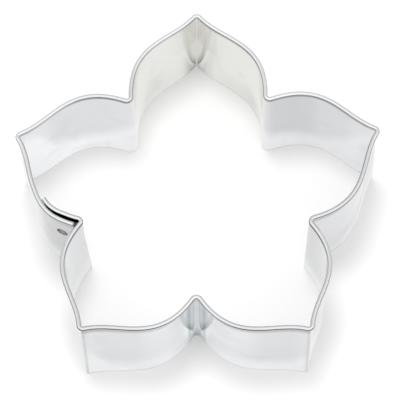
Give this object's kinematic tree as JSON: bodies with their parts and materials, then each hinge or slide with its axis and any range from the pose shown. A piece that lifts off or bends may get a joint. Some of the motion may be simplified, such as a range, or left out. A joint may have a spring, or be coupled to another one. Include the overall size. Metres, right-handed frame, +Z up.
{
  "type": "flower pastry cutter",
  "caption": "Flower-shaped pastry cutter bent from one tall strip of bright tinplate, with a rolled rim, a plain cutting edge and lapped, spot-welded ends.",
  "frame": {"origin": "middle of the cutter's box in plan, on the plane of the cutting edge that it stands on", "axes": "+Z up from the cutting edge to the rolled rim; +X to the right across the widest pair of petals; +Y towards the tip of the back petal"},
  "size_m": [0.08, 0.0762, 0.025],
  "materials": {
    "tinplate": "bright tinned, lightly handled",
    "weld": "dull grey, dished by the electrodes"
  },
  "bodies": {
    "root": {"petal_strip": "tinplate", "upper_spot_weld": "weld", "lower_spot_weld": "weld"}
  },
  "joints": []
}
